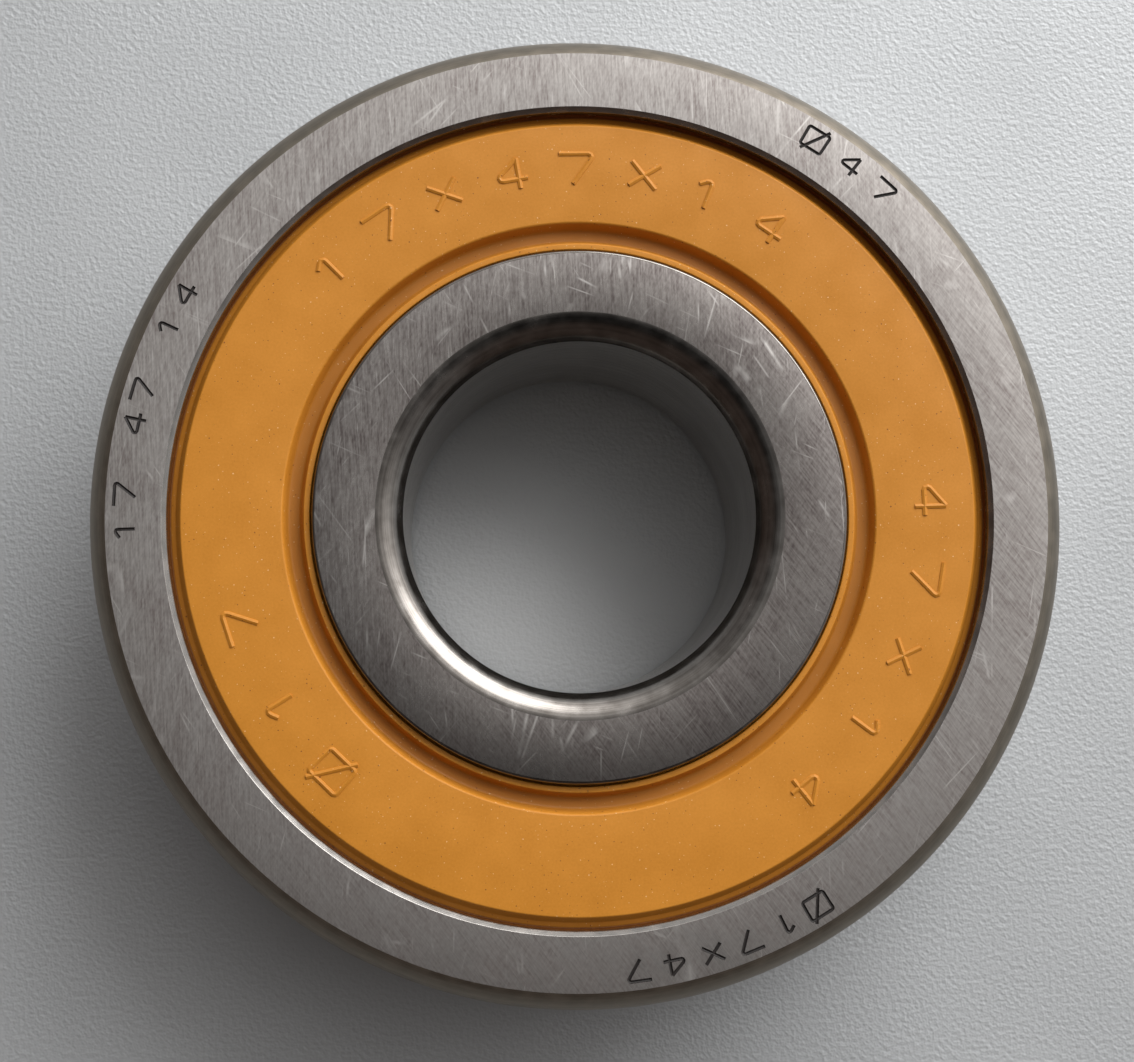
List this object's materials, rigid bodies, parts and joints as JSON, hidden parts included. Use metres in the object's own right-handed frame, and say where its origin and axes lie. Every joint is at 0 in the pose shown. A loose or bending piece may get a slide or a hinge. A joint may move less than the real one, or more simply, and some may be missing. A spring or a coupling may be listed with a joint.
{
  "type": "deep-groove ball bearing",
  "caption": "Sealed deep-groove ball bearing: outer and inner ring with balls and a riveted cage between them and an amber rubber seal on each side; carries a turning shaft.",
  "frame": {"origin": "centre of the bearing: on the bore's axis, midway between the two side faces", "axes": "+Z along the bearing axis, towards the side that faces up as it lies flat; +X and +Y are radial, and +X passes through the centre of ball_1"},
  "size_m": [0.047, 0.047, 0.014],
  "materials": {
    "ring_steel": "hardened bearing steel, side faces ground satin, corners turned and polished",
    "ball_steel": "hardened bearing steel, lapped mirror bright",
    "cage_steel": "low-carbon steel strip, pressed and tumbled",
    "rivet_steel": "soft steel, cold headed",
    "seal_rubber": "amber moulded nitrile rubber, matt",
    "insert_steel": "cold-rolled steel sheet, phosphated"
  },
  "bodies": {
    "outer_ring": {"outer_ring": "ring_steel", "seal_rubber_upper": "seal_rubber", "seal_insert_upper": "insert_steel", "seal_rubber_lower": "seal_rubber", "seal_insert_lower": "insert_steel"},
    "inner_ring": {"inner_ring": "ring_steel"},
    "cage": {"cage_upper": "cage_steel", "cage_lower": "cage_steel", "cage_rivet_1": "rivet_steel", "cage_rivet_2": "rivet_steel", "cage_rivet_3": "rivet_steel", "cage_rivet_4": "rivet_steel", "cage_rivet_5": "rivet_steel", "cage_rivet_6": "rivet_steel", "cage_rivet_7": "rivet_steel"},
    "ball_1": {"ball_1": "ball_steel"},
    "ball_2": {"ball_2": "ball_steel"},
    "ball_3": {"ball_3": "ball_steel"},
    "ball_4": {"ball_4": "ball_steel"},
    "ball_5": {"ball_5": "ball_steel"},
    "ball_6": {"ball_6": "ball_steel"},
    "ball_7": {"ball_7": "ball_steel"}
  },
  "joints": [
    {"name": "inner_spin", "type": "hinge", "parent": "outer_ring", "child": "inner_ring", "pos_m": [0, 0, 0], "axis": [0, 0, 1], "continuous": true},
    {"name": "cage_spin", "type": "hinge", "parent": "outer_ring", "child": "cage", "pos_m": [0, 0, 0], "axis": [0, 0, 1], "continuous": true},
    {"name": "ball_1_roll", "type": "hinge", "parent": "cage", "child": "ball_1", "pos_m": [0.016, 0, 0], "axis": [0, 0, 1], "continuous": true},
    {"name": "ball_2_roll", "type": "hinge", "parent": "cage", "child": "ball_2", "pos_m": [0.00998, 0.01251, 0], "axis": [0, 0, 1], "continuous": true},
    {"name": "ball_3_roll", "type": "hinge", "parent": "cage", "child": "ball_3", "pos_m": [-0.00356, 0.0156, 0], "axis": [0, 0, 1], "continuous": true},
    {"name": "ball_4_roll", "type": "hinge", "parent": "cage", "child": "ball_4", "pos_m": [-0.01442, 0.00694, 0], "axis": [0, 0, 1], "continuous": true},
    {"name": "ball_5_roll", "type": "hinge", "parent": "cage", "child": "ball_5", "pos_m": [-0.01442, -0.00694, 0], "axis": [0, 0, 1], "continuous": true},
    {"name": "ball_6_roll", "type": "hinge", "parent": "cage", "child": "ball_6", "pos_m": [-0.00356, -0.0156, 0], "axis": [0, 0, 1], "continuous": true},
    {"name": "ball_7_roll", "type": "hinge", "parent": "cage", "child": "ball_7", "pos_m": [0.00998, -0.01251, 0], "axis": [0, 0, 1], "continuous": true}
  ],
  "couplings": [
    {"joint": "cage_spin", "follows": "inner_spin", "ratio": 0.36358},
    {"joint": "ball_1_roll", "follows": "inner_spin", "ratio": -1.6961},
    {"joint": "ball_2_roll", "follows": "inner_spin", "ratio": -1.6961},
    {"joint": "ball_3_roll", "follows": "inner_spin", "ratio": -1.6961},
    {"joint": "ball_4_roll", "follows": "inner_spin", "ratio": -1.6961},
    {"joint": "ball_5_roll", "follows": "inner_spin", "ratio": -1.6961},
    {"joint": "ball_6_roll", "follows": "inner_spin", "ratio": -1.6961},
    {"joint": "ball_7_roll", "follows": "inner_spin", "ratio": -1.6961}
  ]
}
